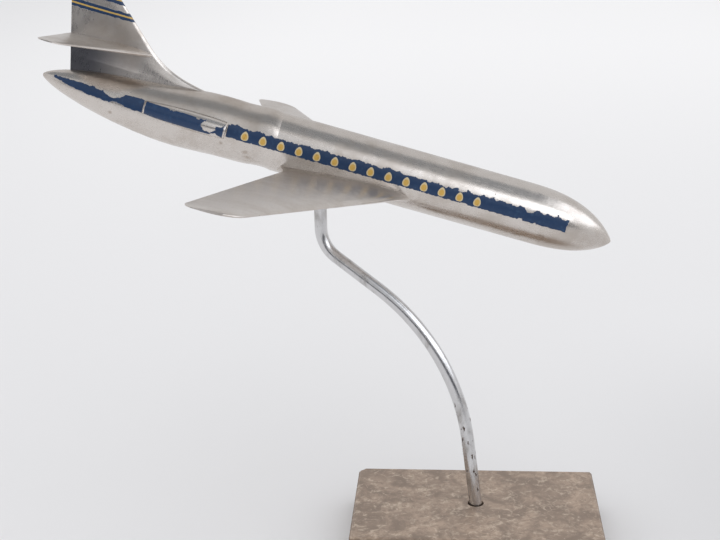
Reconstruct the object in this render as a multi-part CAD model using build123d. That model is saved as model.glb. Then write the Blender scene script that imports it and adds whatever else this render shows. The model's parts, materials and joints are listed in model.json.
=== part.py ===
"""Desktop airliner model: a polished cast-aluminium airliner on a bent rod and a stone base.

Millimetres and degrees. +Z is up. The origin is the centre of the base's underside, +X runs along
the base's long side and +Y towards its back. The airliner is drawn in a frame of its own (X to the
nose, Y to port, Z up, origin on the fuselage axis, stations counted from the nose tip) and is put
on the rod's upper end by `on_rod`.
"""
from build123d import *
import math
import os

# ------------------------------------------------------------------ base
SLAB_LENGTH = 135.5
SLAB_WIDTH = 84.0
SLAB_HEIGHT = 20.0
SLAB_CHAMFER = 1.2
# chips on the slab's top edges: place as a share of the half length and half width, radius, depth
SLAB_CHIPS = (
    (-1, 1, 8.0, 3.4), (-0.42, 1, 4.0, 0.9), (0.58, 1, 3.0, 0.7), (1, 0.35, 3.5, 0.8),
    (1, -0.66, 2.6, 0.6), (1, -1, 5.0, 1.7), (0.62, -1, 4.2, 1.0), (0.12, -1, 3.0, 0.8),
    (-0.3, -1, 5.0, 1.1), (-0.71, -1, 3.4, 0.9), (-1, -0.45, 4.0, 1.0), (-1, 0.3, 3.0, 0.8),
)
FELT_THICKNESS = 1.5
FELT_MARGIN = 2.0
SOCKET_DIA = 9.0
SOCKET_DEPTH = 5.0
RECESS_DIA = 24.0
RECESS_DEPTH = 9.5

# ------------------------------------------------------------------ rod and its fastenings
ROD_DIA = 7.0
ROD_BEARING = 160.3
ROD_LEAN_HEIGHT = 0.2
ROD_ELBOW = (12.2, 90.9)
ROD_TOP_OFFSET = 91.1
ROD_TOP_CORNER = 140.0
ROD_BENDS = (25.0, 113.0, 18.7)
BELLY_HEIGHT = 175.1
STUD_DIA = 6.0
STUD_TIP = 1.2
RUNNING_FIT = 0.05
RUNNING_GAP = 0.3
WASHER_DIA = 18.0
WASHER_THICKNESS = 1.6
SPRING_WASHER_DIA = 11.0
SPRING_WASHER_THICKNESS = 1.5
SPRING_SPLIT = 0.8
SPRING_SPLIT_SLANT = 30.0
NUT_ACROSS_FLATS = 10.0
NUT_THICKNESS = 4.0
SPIGOT_DIA = 5.0
SPIGOT_LENGTH = 14.0
GROOVE_DEPTH = 0.5
GROOVE_HEIGHT = 7.0
BUSH_DIA = 9.0
BUSH_PROUD = 1.8
BUSH_ROOF = 1.0
CLAMP_SCREW_DIA = 3.0

# ------------------------------------------------------------------ attitude of the airliner
HEADING = 2.16
NOSE_DOWN = 16.67
BANK = -3.31
ROD_STATION = 161.8

# ------------------------------------------------------------------ fuselage
FUSELAGE_LENGTH = 320.0
FUSELAGE_DIA = 32.1
# the powers say how full the nose and the tail are, and how their axes bend
NOSE_LENGTH = 52.0
NOSE_POWERS = (2.8, 0.8)
NOSE_DROOP = 3.2
NOSE_DROOP_POWER = 2.1
NOSE_STEPS = 12
TAIL_LENGTH = 94.0
TAIL_POWER = 0.65
TAIL_SAG = 1.5
TAIL_SAG_POWER = 1.5
TAIL_LIFT = 0.6
TAIL_LIFT_POWER = 4
TAIL_STEPS = 18
BELLY_SWELL = 0.65
BELLY_FROM_TAIL = 130.0
BELLY_LENGTH = 90.0
TIP_SLICE = 0.35
TIP_TURN = 78.0
TIP_STEPS = 6
# a rounded cast section: factors of the root and of the first four powers of the share of its chord
FOIL_FACTORS = (1.4845, -0.63, -1.758, 1.4215, -0.518)
FOIL_STEPS = 7
CASTING_EDGE = 0.5

# ------------------------------------------------------------------ wings
WING_SEMI_SPAN = 177.0
WING_LEAD_STATION = 109.3
WING_TRAIL_STATION = 178.5
WING_LEAD_SWEEP = 25.05
WING_TRAIL_SWEEP = 11.9
WING_ABOVE_BELLY = 7.6
WING_INCIDENCE = 2.6
WING_DIHEDRAL = 2.6
WING_ROOT_Y = 8.0
WING_THICKNESS_RATIO = 0.10
WING_TIP_RADIUS = 7.0
FAIRING_HEIGHT = 6.0
FAIRING_REACH = 6.0
FAIRING_EDGE = 0.8
FAIRING_STEPS = 9
UNDERSIDE_SHARE = 0.8
DOWEL_DIA = 3.0
DOWEL_REACH = 22.0
DOWEL_STATIONS = (132.0, 150.0)
WING_SCREW_DIA = 2.5
WING_SCREW_Y = 18.0

# ------------------------------------------------------------------ fin and tailplanes, from the tail tip
FIN_TOP = 56.5
FIN_TONGUE = 5.0
FIN_LEAD_FROM_TAIL = 55.4
FIN_LEAD_HEIGHT = 26.9
FIN_LEAD_SLOPE = 1.03
FIN_TRAIL_FROM_TAIL = 13.6
FIN_TRAIL_HEIGHT = 7.9
FIN_TRAIL_SLOPE = 0.204
FIN_THICKNESS_RATIO = 0.085
FIN_TIP_RADIUS = 3.0
DORSAL_REACH = 21.0
DORSAL_FADE = 3.8
DORSAL_SINK = 1.0
DORSAL_STEPS = 14
FIN_DOWEL_DIA = 2.0
FIN_DOWELS_FROM_TAIL = (47.0, 27.0)
FIN_DOWEL_BOTTOM = -3.0
FIN_DOWEL_TOP = 13.5
TAILPLANE_SEMI_SPAN = 53.0
TAILPLANE_HEIGHT = 26.0
TAILPLANE_LEAD_FROM_TAIL = 55.4
TAILPLANE_TRAIL_FROM_TAIL = 10.0
TAILPLANE_LEAD_SWEEP = 37.1
TAILPLANE_TRAIL_SWEEP = 6.0
TAILPLANE_THICKNESS_RATIO = 0.085
TAILPLANE_ROOT_Y = 0.6
TAILPLANE_TIP_RADIUS = 3.5
TAIL_PIN_DIA = 1.6
TAIL_PIN_REACH = 9.0
TAIL_PINS_FROM_TAIL = (33.0, 22.0)

# ------------------------------------------------------------------ engine nacelles, from the tail tip
NACELLE_FRONT_FROM_TAIL = 103.0
NACELLE_REAR_FROM_TAIL = 58.0
NACELLE_PROUD = 4.6
NACELLE_HALF_WIDTH = 6.0
NACELLE_HALF_HEIGHT = 5.2
NACELLE_AXIS_HEIGHT = 0.6
NACELLE_EDGE = 0.6
NACELLE_TUCK = 2.57
# shares of the pod's length and its girth there
NACELLE_SHAPE = ((0.0, 0.88), (0.12, 0.96), (0.35, 1.0), (0.65, 0.93), (1.0, 0.72))
NACELLE_PIN_DIA = 2.5
NACELLE_PIN_REACH = 17.0
NACELLE_PINS_FROM_TAIL = (92.0, 70.0)

# ------------------------------------------------------------------ cabin windows
WINDOW_COUNT = 14
WINDOW_FIRST_STATION = 78.7
WINDOW_PITCH = 9.84
WINDOW_WIDTH = 4.0
WINDOW_HEIGHT = 4.9
WINDOW_CENTRE_HEIGHT = 0.7
WINDOW_FULLNESS = (1.83, 0.72)
WINDOW_FILM = 0.12

# ------------------------------------------------------------------ worked out from the sizes above
RADIUS = FUSELAGE_DIA / 2
HALF_LENGTH = FUSELAGE_LENGTH / 2
SLAB_TOP = FELT_THICKNESS + SLAB_HEIGHT
LEDGE_Z = SLAB_TOP - SOCKET_DEPTH
RECESS_TOP = FELT_THICKNESS + RECESS_DEPTH
NUT_TOP = RECESS_TOP - WASHER_THICKNESS - SPRING_WASHER_THICKNESS - RUNNING_GAP
STUD_BOTTOM = NUT_TOP - NUT_THICKNESS - STUD_TIP
BELLY_Z = SLAB_TOP + BELLY_HEIGHT
BUSH_BOTTOM = BELLY_Z - BUSH_PROUD
ROD_SHOULDER = BUSH_BOTTOM - RUNNING_GAP
SPIGOT_TOP = ROD_SHOULDER + SPIGOT_LENGTH
ROD_AXIS_X = ROD_TOP_OFFSET * math.cos(math.radians(ROD_BEARING))
ROD_AXIS_Y = ROD_TOP_OFFSET * math.sin(math.radians(ROD_BEARING))
# how far a cutter runs past the faces that it cuts
OVERRUN = 1.0


def tan(degrees):
    return math.tan(math.radians(degrees))


def station_x(station):
    """X in the airliner's frame of a station counted from the nose tip."""
    return HALF_LENGTH - station


def from_tail_x(distance):
    """X in the airliner's frame of a distance counted forward from the tail tip."""
    return distance - HALF_LENGTH


def upright_cylinder(diameter, bottom, top):
    """A cylinder about the Z axis between two heights."""
    standing = (Align.CENTER, Align.CENTER, Align.MIN)
    return Pos(0, 0, bottom) * Cylinder(diameter / 2, top - bottom, align=standing)


def cross_pin(diameter, reach, x, z):
    """A pin across the airliner, from -reach to +reach."""
    return Pos(x, 0, z) * Rot(90, 0, 0) * Cylinder(diameter / 2, 2 * reach)


def on_rod(shape):
    """Puts something drawn in the airliner's frame on the rod's upper end."""
    belly = Pos(-station_x(ROD_STATION), 0, RADIUS)
    attitude = Rot(0, 0, HEADING) * Rot(0, NOSE_DOWN, 0) * Rot(BANK, 0, 0)
    return Pos(ROD_AXIS_X, ROD_AXIS_Y, BELLY_Z) * attitude * belly * shape


def off_rod(shape):
    """Puts something drawn about the rod's upper axis into the airliner's frame."""
    belly = Pos(station_x(ROD_STATION), 0, -RADIUS)
    attitude = Rot(-BANK, 0, 0) * Rot(0, -NOSE_DOWN, 0) * Rot(0, 0, -HEADING)
    return belly * attitude * Pos(0, 0, -BELLY_Z) * shape


# ------------------------------------------------------------------ base pieces
def base_slab():
    slab = Pos(0, 0, FELT_THICKNESS) * Box(
        SLAB_LENGTH, SLAB_WIDTH, SLAB_HEIGHT, align=(Align.CENTER, Align.CENTER, Align.MIN))
    top = slab.faces().sort_by(Axis.Z)[-1]
    slab = chamfer(top.edges() + slab.edges().filter_by(Axis.Z), SLAB_CHAMFER)
    for across, along, radius, depth in SLAB_CHIPS:
        slab -= chip(across, along, radius, depth)
    slab -= upright_cylinder(SOCKET_DIA, LEDGE_Z, SLAB_TOP + OVERRUN)
    slab -= upright_cylinder(STUD_DIA + 2 * RUNNING_FIT, FELT_THICKNESS, SLAB_TOP)
    slab -= upright_cylinder(RECESS_DIA, FELT_THICKNESS - OVERRUN, RECESS_TOP)
    return slab


def chip(across, along, radius, depth):
    """A shell-shaped bite out of the slab's top edge, depth deep at the sharp edge."""
    outward = Vector(int(across), int(along), 1).normalized()
    edge = Vector(across * SLAB_LENGTH / 2, along * SLAB_WIDTH / 2, SLAB_TOP)
    return Pos(edge + outward * (radius - depth)) * Sphere(radius)


def base_felt():
    return Box(
        SLAB_LENGTH - 2 * FELT_MARGIN, SLAB_WIDTH - 2 * FELT_MARGIN, FELT_THICKNESS,
        align=(Align.CENTER, Align.CENTER, Align.MIN))


def ring(outside, inside, bottom, top):
    hole = upright_cylinder(inside, bottom - OVERRUN, top + OVERRUN)
    return upright_cylinder(outside, bottom, top) - hole


def base_washer():
    return ring(WASHER_DIA, STUD_DIA + 2 * RUNNING_FIT, RECESS_TOP - WASHER_THICKNESS, RECESS_TOP)


def base_spring_washer():
    """The split spring washer that the nut presses up against the plain one."""
    top = NUT_TOP + SPRING_WASHER_THICKNESS
    tall = 4 * SPRING_WASHER_THICKNESS
    split = Rot(SPRING_SPLIT_SLANT, 0, 0) * Box(SPRING_WASHER_DIA, SPRING_SPLIT, tall)
    return ring(SPRING_WASHER_DIA, STUD_DIA, NUT_TOP, top) - Pos(SPRING_WASHER_DIA / 2, 0, top) * split


def base_nut():
    hexagon = RegularPolygon(NUT_ACROSS_FLATS / 2, 6, major_radius=False)
    nut = Pos(0, 0, NUT_TOP - NUT_THICKNESS) * extrude(hexagon, NUT_THICKNESS)
    return nut - upright_cylinder(STUD_DIA, NUT_TOP - NUT_THICKNESS - OVERRUN, NUT_TOP + OVERRUN)


# ------------------------------------------------------------------ rod
def rod_path():
    """Centre line of the rod in the XZ plane: up, out in a long bend, and back to upright."""
    foot = (0, LEDGE_Z + RUNNING_GAP)
    lean = (0, SLAB_TOP + ROD_LEAN_HEIGHT)
    elbow = (ROD_ELBOW[0], SLAB_TOP + ROD_ELBOW[1])
    top_corner = (ROD_TOP_OFFSET, SLAB_TOP + ROD_TOP_CORNER)
    top = (ROD_TOP_OFFSET, ROD_SHOULDER)
    return FilletPolyline(foot, lean, elbow, top_corner, top, radius=ROD_BENDS)


def support_rod():
    path = Plane.XZ * rod_path()
    section = Plane(path @ 0, z_dir=(0, 0, 1)) * Circle(ROD_DIA / 2)
    rod = Rot(0, 0, ROD_BEARING) * sweep(section, path)
    rod += upright_cylinder(STUD_DIA, STUD_BOTTOM, LEDGE_Z + RUNNING_GAP)
    return rod + Pos(ROD_AXIS_X, ROD_AXIS_Y, 0) * spigot()


def spigot():
    """The reduced upper end that the airliner turns on, with the groove its screw runs in."""
    groove_z = ROD_SHOULDER + GROOVE_HEIGHT
    half_groove = CLAMP_SCREW_DIA / 2 + RUNNING_GAP
    pin = upright_cylinder(SPIGOT_DIA, ROD_SHOULDER, SPIGOT_TOP)
    pin = chamfer(pin.faces().sort_by(Axis.Z)[-1].edges(), GROOVE_DEPTH)
    core = SPIGOT_DIA - 2 * GROOVE_DEPTH
    groove = ring(SPIGOT_DIA + OVERRUN, core, groove_z - half_groove, groove_z + half_groove)
    return pin - groove


def belly_bush_blank():
    """The bush before its bore, about the rod's upper axis."""
    return upright_cylinder(BUSH_DIA, BUSH_BOTTOM, SPIGOT_TOP + RUNNING_GAP + BUSH_ROOF)


def clamp_screw_blank(start, end):
    """A level bar along the clamp screw's axis, between two distances behind the rod's axis."""
    bar = Cylinder(CLAMP_SCREW_DIA / 2, end - start, align=(Align.CENTER, Align.CENTER, Align.MIN))
    return Pos(0, 0, ROD_SHOULDER + GROOVE_HEIGHT) * Rot(0, -90, 0) * Pos(0, 0, start) * bar


# ------------------------------------------------------------------ fuselage
def fuselage_disc(station, skin):
    """The fuselage's round section at a station, under a skin."""
    radius, height = RADIUS, 0.0
    if station < NOSE_LENGTH:
        ahead = 1 - station / NOSE_LENGTH
        radius = RADIUS * (1 - ahead ** NOSE_POWERS[0]) ** NOSE_POWERS[1]
        height = -NOSE_DROOP * ahead ** NOSE_DROOP_POWER
    from_tail = FUSELAGE_LENGTH - station
    left = from_tail / TAIL_LENGTH
    if left < 1:
        radius = RADIUS * (1 - (1 - left) ** 2) ** TAIL_POWER
        sag = TAIL_SAG * math.sin(math.pi * left ** TAIL_SAG_POWER)
        height = TAIL_LIFT * (1 - left) ** TAIL_LIFT_POWER - sag
    along_belly = (BELLY_FROM_TAIL - from_tail) / BELLY_LENGTH
    swell = BELLY_SWELL * math.sin(math.pi * along_belly) ** 2 if 0 < along_belly < 1 else 0.0
    plane = Plane((station_x(station), 0, height - swell / 2), x_dir=(0, 1, 0), z_dir=(1, 0, 0))
    return plane * Circle(radius + swell / 2 + skin)


def towards_tip(length, steps):
    """Distances from a tip, closer together near it, from TIP_SLICE to length."""
    return [TIP_SLICE + (length - TIP_SLICE) * (k / steps) ** 2 for k in range(steps + 1)]


def fuselage_blank(skin=0.0):
    """The whole body before anything is let into it: rounded nose, tube, long tail cone."""
    nose = towards_tip(NOSE_LENGTH, NOSE_STEPS)
    tail = [FUSELAGE_LENGTH - d for d in reversed(towards_tip(BELLY_FROM_TAIL, TAIL_STEPS))]
    body = extrude(fuselage_disc(tail[0], skin), tail[0] - nose[-1])
    body += loft([fuselage_disc(s, skin) for s in nose])
    body += loft([fuselage_disc(s, skin) for s in tail])
    return body


# ------------------------------------------------------------------ wings, fin and tailplanes
def foil(plane, chord, thickness, edge, lower):
    """A rounded cast section: its nose at the plane's origin, its chord along the plane's x.

    edge is how thick it stays at the back, and lower is the underside's share of the upper bulge.
    """
    def half(part):
        bulge = FOIL_FACTORS[0] * math.sqrt(part)
        bulge += sum(factor * part ** power for power, factor in enumerate(FOIL_FACTORS[1:], start=1))
        return bulge * thickness + edge / 2 * part
    parts = [(k / FOIL_STEPS) ** 2 for k in range(FOIL_STEPS + 1)]
    upper = [(p * chord, half(p)) for p in reversed(parts)]
    under = [(p * chord, -lower * half(p)) for p in parts[1:]]
    outline = Spline(*upper, *under) + Line(under[-1], upper[0])
    return plane * make_face(outline)


def tip_inset(distance, end, radius):
    """How far a tip's edge curves in at a distance along the span."""
    beyond = min(1.0, max(0.0, distance - (end - radius)) / radius)
    return radius * (1 - math.sqrt(1 - beyond ** 2))


def tip_places(end, radius):
    """Places along a span from where its tip starts to round off, closer together near the end."""
    turn = [math.radians(TIP_TURN * k / TIP_STEPS) for k in range(TIP_STEPS + 1)]
    return [end - radius * (1 - math.sin(angle)) for angle in turn]


def evenly(start, end, steps):
    return [start + (end - start) * k / steps for k in range(steps + 1)]


def wing_plane_z(x, y):
    """Height of the wing's chord plane."""
    aft = station_x(WING_LEAD_STATION) - x
    return -(RADIUS - WING_ABOVE_BELLY) - tan(WING_INCIDENCE) * aft + tan(WING_DIHEDRAL) * (y - RADIUS)


def wing_section(y):
    inset = tip_inset(y, WING_SEMI_SPAN, WING_TIP_RADIUS)
    lead_x = station_x(WING_LEAD_STATION + tan(WING_LEAD_SWEEP) * y) - inset
    trail_x = station_x(WING_TRAIL_STATION + tan(WING_TRAIL_SWEEP) * y) + inset
    plain = WING_THICKNESS_RATIO * (lead_x - trail_x)
    swell = FAIRING_HEIGHT * math.exp(-((y - WING_ROOT_Y) / FAIRING_REACH) ** 2)
    lead_x += swell
    chord = lead_x - trail_x + swell
    nose = (lead_x, y, wing_plane_z(lead_x, y))
    plane = Plane(nose, x_dir=(-1, 0, -tan(WING_INCIDENCE)), z_dir=(0, 1, 0))
    edge = CASTING_EDGE + FAIRING_EDGE * swell
    return foil(plane, chord, plain + swell, edge, UNDERSIDE_SHARE * plain / (plain + swell))


def wing_blank():
    """The port wing: smooth through its root fairing, straight along its span, round at its tip."""
    fairing = evenly(WING_ROOT_Y, 2 * RADIUS, FAIRING_STEPS)
    span = [fairing[-1]] + tip_places(WING_SEMI_SPAN, WING_TIP_RADIUS)
    return loft([wing_section(y) for y in fairing]) + loft([wing_section(y) for y in span], ruled=True)


def fin_section(z):
    inset = tip_inset(z, FIN_TOP, FIN_TIP_RADIUS)
    crown = RADIUS - DORSAL_SINK
    flare = DORSAL_REACH * math.exp(-max(0.0, z - crown) / DORSAL_FADE)
    lead_from_tail = FIN_LEAD_FROM_TAIL - FIN_LEAD_SLOPE * (max(z, crown) - FIN_LEAD_HEIGHT)
    lead_x = from_tail_x(lead_from_tail) + flare - inset
    trail_x = from_tail_x(FIN_TRAIL_FROM_TAIL - FIN_TRAIL_SLOPE * (z - FIN_TRAIL_HEIGHT)) + inset / 2
    chord = lead_x - trail_x
    thickness = FIN_THICKNESS_RATIO * (chord - flare)
    plane = Plane((lead_x, 0, z), x_dir=(-1, 0, 0), z_dir=(0, 0, 1))
    return foil(plane, chord, thickness, CASTING_EDGE, 1.0)


def fin_blank():
    """The fin with its dorsal fillet, standing on a tongue that is sunk in the fuselage."""
    crown = RADIUS - DORSAL_SINK
    dorsal = evenly(crown, crown + 4 * DORSAL_FADE, DORSAL_STEPS)
    heights = [FIN_TONGUE] + dorsal + tip_places(FIN_TOP, FIN_TIP_RADIUS)
    return loft([fin_section(z) for z in heights], ruled=True)


def tailplane_section(y):
    inset = tip_inset(y, TAILPLANE_SEMI_SPAN, TAILPLANE_TIP_RADIUS)
    lead_x = from_tail_x(TAILPLANE_LEAD_FROM_TAIL - tan(TAILPLANE_LEAD_SWEEP) * y) - inset
    trail_x = from_tail_x(TAILPLANE_TRAIL_FROM_TAIL - tan(TAILPLANE_TRAIL_SWEEP) * y) + inset
    chord = lead_x - trail_x
    plane = Plane((lead_x, y, TAILPLANE_HEIGHT), x_dir=(-1, 0, 0), z_dir=(0, 1, 0))
    return foil(plane, chord, TAILPLANE_THICKNESS_RATIO * chord, CASTING_EDGE, 1.0)


def tailplane_blank():
    span = [TAILPLANE_ROOT_Y] + tip_places(TAILPLANE_SEMI_SPAN, TAILPLANE_TIP_RADIUS)
    return loft([tailplane_section(y) for y in span], ruled=True)


# ------------------------------------------------------------------ nacelles and windows
def nacelle_blank():
    """The port engine pod, half sunk in the fuselage's side."""
    front = from_tail_x(NACELLE_FRONT_FROM_TAIL)
    rear = from_tail_x(NACELLE_REAR_FROM_TAIL)
    axis_y = RADIUS + NACELLE_PROUD - NACELLE_HALF_WIDTH
    sections = []
    for part, girth in NACELLE_SHAPE:
        centre = (front + (rear - front) * part, axis_y - NACELLE_TUCK * part ** 2, NACELLE_AXIS_HEIGHT)
        plane = Plane(centre, x_dir=(0, 1, 0), z_dir=(-1, 0, 0))
        sections.append(plane * Ellipse(NACELLE_HALF_WIDTH * girth, NACELLE_HALF_HEIGHT * girth))
    pod = loft(sections)
    ends = pod.faces().filter_by(Plane.YZ)
    return fillet(ends.edges(), NACELLE_EDGE)


def window_outline():
    """An egg-shaped pane, fuller below than above, in the XZ plane."""
    bottom = (0, -WINDOW_HEIGHT / 2)
    top = (0, WINDOW_HEIGHT / 2)
    full_below, full_above = (WINDOW_WIDTH / 2 * fullness for fullness in WINDOW_FULLNESS)
    side = Bezier(bottom, (full_below, bottom[1]), (full_above, top[1]), top)
    return make_face(side + mirror(side, about=Plane.YZ))


def window_row(body, wing):
    """Thin panes lying on the port side of the fuselage, following its skin and clear of the wing."""
    film = fuselage_blank(WINDOW_FILM)
    prism = Plane.XZ * extrude(window_outline(), -2 * RADIUS)
    panes = []
    for k in range(WINDOW_COUNT):
        x = station_x(WINDOW_FIRST_STATION + WINDOW_PITCH * k)
        panes.append((film & (Pos(x, 0, WINDOW_CENTRE_HEIGHT) * prism)) - body - wing)
    return Compound(children=[pane.solid() for pane in panes])


# ------------------------------------------------------------------ assembly
def starboard(shape):
    return mirror(shape, about=Plane.XZ)


def airliner_parts():
    """Every piece of the airliner in its own frame, each cut to fit its neighbours."""
    body = fuselage_blank()
    port_wing = wing_blank()
    fin = fin_blank()
    tailplane = tailplane_blank() - fin
    nacelle = nacelle_blank() - body
    windows = window_row(body, port_wing)
    bush_blank = off_rod(belly_bush_blank())
    screw_hole = off_rod(clamp_screw_blank(0, 3 * RADIUS))

    dowel_z = wing_plane_z(station_x(DOWEL_STATIONS[0]), RADIUS)
    dowels = [cross_pin(DOWEL_DIA, DOWEL_REACH, station_x(s), dowel_z) for s in DOWEL_STATIONS]
    dowel_low = dowel_z - DOWEL_DIA / 2
    screw_bar = upright_cylinder(WING_SCREW_DIA, -2 * RADIUS, dowel_low)
    wing_screws = [port_wing & Pos(station_x(s), WING_SCREW_Y, 0) * screw_bar for s in DOWEL_STATIONS]
    all_wing_screws = wing_screws + [starboard(screw) for screw in wing_screws]
    nacelle_pins = [
        cross_pin(NACELLE_PIN_DIA, NACELLE_PIN_REACH, from_tail_x(d), NACELLE_AXIS_HEIGHT)
        for d in NACELLE_PINS_FROM_TAIL]
    fin_dowels = [
        Pos(from_tail_x(d), 0, 0) * upright_cylinder(FIN_DOWEL_DIA, FIN_DOWEL_BOTTOM, FIN_DOWEL_TOP)
        for d in FIN_DOWELS_FROM_TAIL]
    tail_pins = [
        cross_pin(TAIL_PIN_DIA, TAIL_PIN_REACH, from_tail_x(d), TAILPLANE_HEIGHT)
        for d in TAIL_PINS_FROM_TAIL]

    for pin in dowels + wing_screws:
        port_wing -= pin
    for pin in nacelle_pins:
        nacelle -= pin
    for pin in tail_pins:
        tailplane -= pin
        fin -= pin
    for pin in fin_dowels:
        fin -= pin
    casting = body - wing_blank() - starboard(wing_blank()) - fin_blank() - bush_blank - screw_hole
    for pin in dowels + nacelle_pins + fin_dowels:
        casting -= pin
    bore = upright_cylinder(SPIGOT_DIA + 2 * RUNNING_FIT, BUSH_BOTTOM - OVERRUN, SPIGOT_TOP + RUNNING_GAP)
    bush = bush_blank - off_rod(bore) - screw_hole
    groove_reach = SPIGOT_DIA / 2 - GROOVE_DEPTH + RUNNING_GAP
    clamp_screw = off_rod(clamp_screw_blank(groove_reach, 3 * RADIUS)) & body

    return {
        "fuselage_casting": casting,
        "wing_port": port_wing,
        "wing_starboard": starboard(port_wing),
        "wing_front_dowel": dowels[0],
        "wing_rear_dowel": dowels[1],
        "wing_lock_screws": Compound(children=[screw.solid() for screw in all_wing_screws]),
        "fin": fin,
        "fin_dowels": Compound(children=fin_dowels),
        "tailplane_port": tailplane,
        "tailplane_starboard": starboard(tailplane),
        "tailplane_pins": Compound(children=tail_pins),
        "nacelle_port": nacelle,
        "nacelle_starboard": starboard(nacelle),
        "nacelle_pins": Compound(children=nacelle_pins),
        "windows_port": windows,
        "windows_starboard": starboard(windows),
        "belly_bush": bush,
        "clamp_screw": clamp_screw,
    }


def stand_parts():
    return {
        "base_slab": base_slab(),
        "base_felt": base_felt(),
        "base_washer": base_washer(),
        "base_spring_washer": base_spring_washer(),
        "base_nut": base_nut(),
        "support_rod": support_rod(),
    }


os.makedirs("parts", exist_ok=True)
for name, shape in stand_parts().items():
    export_step(shape, f"parts/{name}.step")
for name, shape in airliner_parts().items():
    export_step(on_rod(shape), f"parts/{name}.step")
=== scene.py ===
# %% [markdown]
# # A cast-aluminium desk airliner
#
# The object is an airliner cast in aluminium and polished by hand, set nose down on a bent rod that
# stands in a block of mottled limestone. Its shapes come finished from the CAD frame, so this lesson
# is mostly about finishes: worn metal, old paint with chips, gold film, rusty pits, stone and felt,
# and about how a few soft lights and cards give polished metal something to reflect.

# %% Load the frame
import json
import math
import bmesh
import bpy
from mathutils import Matrix, Vector


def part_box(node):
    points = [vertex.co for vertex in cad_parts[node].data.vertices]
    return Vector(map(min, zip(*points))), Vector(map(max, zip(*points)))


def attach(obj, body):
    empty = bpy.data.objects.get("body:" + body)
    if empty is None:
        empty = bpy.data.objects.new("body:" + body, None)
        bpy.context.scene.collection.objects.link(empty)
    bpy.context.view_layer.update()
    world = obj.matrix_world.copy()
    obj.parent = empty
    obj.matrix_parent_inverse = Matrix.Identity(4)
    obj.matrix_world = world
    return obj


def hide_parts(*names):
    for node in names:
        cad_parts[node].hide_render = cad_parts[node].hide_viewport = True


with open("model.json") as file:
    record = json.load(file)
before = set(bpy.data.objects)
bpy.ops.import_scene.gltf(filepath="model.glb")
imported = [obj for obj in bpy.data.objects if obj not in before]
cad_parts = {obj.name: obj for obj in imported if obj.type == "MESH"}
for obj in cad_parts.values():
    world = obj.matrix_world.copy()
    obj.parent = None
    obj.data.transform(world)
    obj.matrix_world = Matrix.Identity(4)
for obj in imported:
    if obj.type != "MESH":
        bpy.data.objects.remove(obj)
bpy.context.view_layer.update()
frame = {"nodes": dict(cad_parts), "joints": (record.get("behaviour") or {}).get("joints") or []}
nodes = frame["nodes"]
scene = bpy.context.scene

# %% [markdown]
# ## Camera
#
# The airliner is seen from its starboard side and a little from above, through a long lens. A long
# lens far away keeps the long body from looking bent. Heading, pitch and roll are turned into one
# matrix, heading first, so each of them can be read and changed by itself.

# %% Camera
CAMERA_PLACE = Vector((-0.0120, -0.6681, 0.3698))
CAMERA_HEADING = math.radians(4.31)
CAMERA_PITCH = math.radians(-17.6)
CAMERA_ROLL = math.radians(-0.99)
CAMERA_LENS = 66.4


def make_camera():
    data = bpy.data.cameras.new("camera")
    data.lens = CAMERA_LENS
    data.sensor_width = 36.0
    data.clip_start = 0.01
    camera = bpy.data.objects.new("camera", data)
    scene.collection.objects.link(camera)
    turn = Matrix.Rotation(CAMERA_HEADING, 4, "Z") @ Matrix.Rotation(math.pi / 2 + CAMERA_PITCH, 4, "X")
    camera.matrix_world = Matrix.Translation(CAMERA_PLACE) @ turn @ Matrix.Rotation(CAMERA_ROLL, 4, "Z")
    scene.camera = camera
    return camera


camera = make_camera()
scene.view_settings.view_transform = "Standard"
print("camera at", tuple(round(v, 3) for v in camera.location), "with a lens of", CAMERA_LENS, "mm")

# %% [markdown]
# ## Small helpers for shader nodes
#
# A shader is a graph. Written out link by link it is long and hard to read, so a few helpers carry
# the repeated steps: make a node, feed its sockets with a number or another socket, hand back its
# output. After that a finish reads like a recipe. All lengths in the recipes are in millimetres.

# %% Node helpers
MM = 0.001


def new_finish(name, metallic=0.0, roughness=0.5):
    """A material, its node tree and its Principled shader."""
    material = bpy.data.materials.new(name)
    material.use_nodes = True
    shader = material.node_tree.nodes["Principled BSDF"]
    shader.inputs["Metallic"].default_value = metallic
    shader.inputs["Roughness"].default_value = roughness
    return material, material.node_tree, shader


def feed(tree, socket, value):
    """Links a socket to another one, or types a number, a colour or a vector into it."""
    if isinstance(value, bpy.types.NodeSocket):
        tree.links.new(value, socket)
    else:
        socket.default_value = value


def calc(tree, operation, first, second=0.0, third=0.0):
    """One step of arithmetic."""
    node = tree.nodes.new("ShaderNodeMath")
    node.operation = operation
    for socket, value in zip(node.inputs, (first, second, third)):
        feed(tree, socket, value)
    return node.outputs["Value"]


def spread(tree, value, low, high, to_low=0.0, to_high=1.0):
    """Moves the range low..high smoothly to to_low..to_high, and stops at both ends."""
    node = tree.nodes.new("ShaderNodeMapRange")
    node.interpolation_type = "SMOOTHSTEP"
    for name, number in (("Value", value), ("From Min", low), ("From Max", high),
                         ("To Min", to_low), ("To Max", to_high)):
        feed(tree, node.inputs[name], number)
    return node.outputs["Result"]


def smallest(tree, values):
    """The smallest of several numbers."""
    result = values[0]
    for value in values[1:]:
        result = calc(tree, "MINIMUM", result, value)
    return result


def dye(tree, share, first, second):
    """A colour between two others: share 0 gives the first, share 1 the second."""
    node = tree.nodes.new("ShaderNodeMix")
    node.data_type = "RGBA"
    feed(tree, node.inputs[0], share)
    for socket, colour in ((node.inputs[6], first), (node.inputs[7], second)):
        feed(tree, socket, colour if isinstance(colour, bpy.types.NodeSocket) else (*colour, 1.0))
    return node.outputs[2]


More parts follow.
